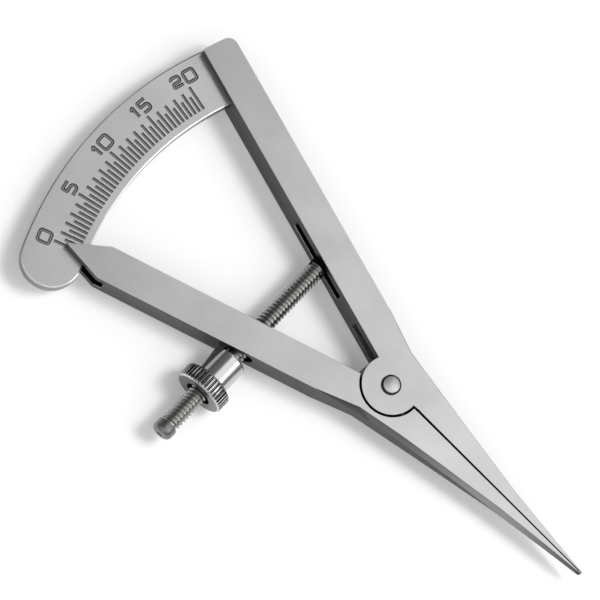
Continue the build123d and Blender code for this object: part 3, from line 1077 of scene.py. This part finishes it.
def white_card(colour):
    """Matt white card, lifted a little towards white where the camera or the steel sees it."""
    card = bpy.data.materials.new("white_card")
    tree = empty_tree(card)
    matt = add_node(tree, "ShaderNodeBsdfDiffuse", {"Color": (*colour, 1)})
    glow = add_node(tree, "ShaderNodeEmission", {"Color": (1, 1, 1, 1), "Strength": 1.0})
    ray = add_node(tree, "ShaderNodeLightPath")
    seen = ray.outputs["Is Camera Ray"]
    for kind in ("Is Glossy Ray", "Is Transmission Ray"):
        inputs = {0: seen, 1: ray.outputs[kind]}
        seen = add_node(tree, "ShaderNodeMath", inputs, operation="ADD", use_clamp=True).outputs["Value"]
    share = add_node(tree, "ShaderNodeMath", {0: seen, 1: CARD_GLOW}, operation="MULTIPLY")
    mixed = add_node(
        tree,
        "ShaderNodeMixShader",
        {"Fac": share.outputs["Value"], 1: matt.outputs["BSDF"], 2: glow.outputs["Emission"]},
    )
    add_node(tree, "ShaderNodeOutputMaterial", {"Surface": mixed.outputs["Shader"]})
    return card


def studio_room(daylight):
    """The room that the steel mirrors, lit from above and by two windows. The camera sees plain white."""
    world = bpy.data.worlds.new("studio")
    tree = empty_tree(world)
    direction = add_node(tree, "ShaderNodeTexCoord").outputs["Generated"]
    towards = add_node(tree, "ShaderNodeSeparateXYZ", {"Vector": direction})
    overhead = add_node(tree, "ShaderNodeMapRange", {"Value": towards.outputs["Z"], **OVERHEAD})
    # The room is lighter on the side where the tips and the scale arm point
    facing = add_node(tree, "ShaderNodeVectorMath", {0: direction, 1: WINDOW_SIDE}, operation="DOT_PRODUCT")
    sideways = add_node(tree, "ShaderNodeMapRange", {"Value": facing.outputs["Value"], **WINDOW})
    # A second, weaker window in front lights the faces as they are seen from behind
    front = add_node(tree, "ShaderNodeMapRange", {"Value": towards.outputs["Y"], **FRONT_WINDOW})
    both = {0: sideways.outputs["Result"], 1: front.outputs["Result"]}
    windows = add_node(tree, "ShaderNodeMath", both, operation="MAXIMUM")
    strength = windows.outputs["Value"]
    for factor in (overhead.outputs["Result"], daylight):
        product = add_node(tree, "ShaderNodeMath", {0: strength, 1: factor}, operation="MULTIPLY")
        strength = product.outputs["Value"]
    white = (1, 1, 1, 1)
    room = add_node(tree, "ShaderNodeBackground", {"Color": white, "Strength": strength})
    backdrop = add_node(tree, "ShaderNodeBackground", {"Color": white, "Strength": 1.0})
    ray = add_node(tree, "ShaderNodeLightPath")
    seen = ray.outputs["Is Camera Ray"]
    mixed = add_node(
        tree,
        "ShaderNodeMixShader",
        {"Fac": seen, 1: room.outputs["Background"], 2: backdrop.outputs["Background"]},
    )
    add_node(tree, "ShaderNodeOutputWorld", {"Surface": mixed.outputs["Shader"]})
    return world


class CALIPER_OT_stage(bpy.types.Operator):
    """Sets the floor, the lamps, the room light and the camera"""

    bl_idname = "caliper.stage"
    bl_label = "Set the stage"

    def execute(self, context):
        stage = context.scene.caliper_stage
        lowest = Matrix.Translation((0, 0, CAD_BOX[0][2]))
        bm = bmesh.new()
        bmesh.ops.create_circle(bm, cap_ends=True, segments=64, radius=stage.floor_size / 2, matrix=lowest)
        floor = add_object("floor", make_mesh("floor", bm, [white_card(stage.floor_colour)]))
        context.scene.world = studio_room(stage.daylight)
        for name, place, width, part in SOFTBOXES:
            data = bpy.data.lights.new(name, "AREA")
            data.shape = "SQUARE"
            data.size = width
            data.energy = stage.key_power * part
            lamp = add_object(name, data)
            lamp.location = place
            # The key only lights the floor and casts the shadow, as the steel mirrors the room and the others
            lamp.visible_glossy = name != "key_softbox"
            look_at(lamp, LAMP_TARGET)
        data = bpy.data.cameras.new("camera")
        data.sensor_width = SENSOR_WIDTH
        data.lens = stage.camera_lens
        data.clip_start = 0.01
        data.clip_end = 20
        camera = add_object("camera", data)
        camera.location = stage.camera_place
        camera.rotation_euler = stage.camera_turn
        context.scene.camera = camera
        context.scene.view_settings.view_transform = "Standard"
        return {"FINISHED"}


class CALIPER_PT_panel(bpy.types.Panel):
    """Lists the pieces of the caliper and their settings"""

    bl_idname = "CALIPER_PT_panel"
    bl_label = "Surgical caliper"
    bl_space_type = "VIEW_3D"
    bl_region_type = "UI"
    bl_category = "Caliper"

    def draw(self, context):
        for operator in OPERATORS:
            self.layout.operator(operator.bl_idname)
        for name, kind in SETTINGS.items():
            box = self.layout.box()
            box.label(text=kind.__doc__)
            for key in kind.__annotations__:
                box.prop(getattr(context.scene, name), key)


SETTINGS = {
    "caliper_scale": CaliperScale,
    "caliper_spindle": CaliperSpindle,
    "caliper_finish": CaliperFinish,
    "caliper_stage": CaliperStage,
}
OPERATORS = (
    CALIPER_OT_arms,
    CALIPER_OT_scale_plate,
    CALIPER_OT_spindle,
    CALIPER_OT_nut,
    CALIPER_OT_pins,
    CALIPER_OT_stage,
)


def register():
    for kind in (*SETTINGS.values(), *OPERATORS, CALIPER_PT_panel):
        bpy.utils.register_class(kind)
    for name, kind in SETTINGS.items():
        setattr(bpy.types.Scene, name, bpy.props.PointerProperty(type=kind))


def unregister():
    for name in SETTINGS:
        delattr(bpy.types.Scene, name)
    for kind in (CALIPER_PT_panel, *reversed(OPERATORS), *SETTINGS.values()):
        bpy.utils.unregister_class(kind)


def main():
    register()
    bpy.ops.caliper.arms()
    bpy.ops.caliper.scale_plate()
    bpy.ops.caliper.spindle()
    bpy.ops.caliper.nut()
    bpy.ops.caliper.pins()
    bpy.ops.caliper.stage()


if __name__ == "__main__":
    main()
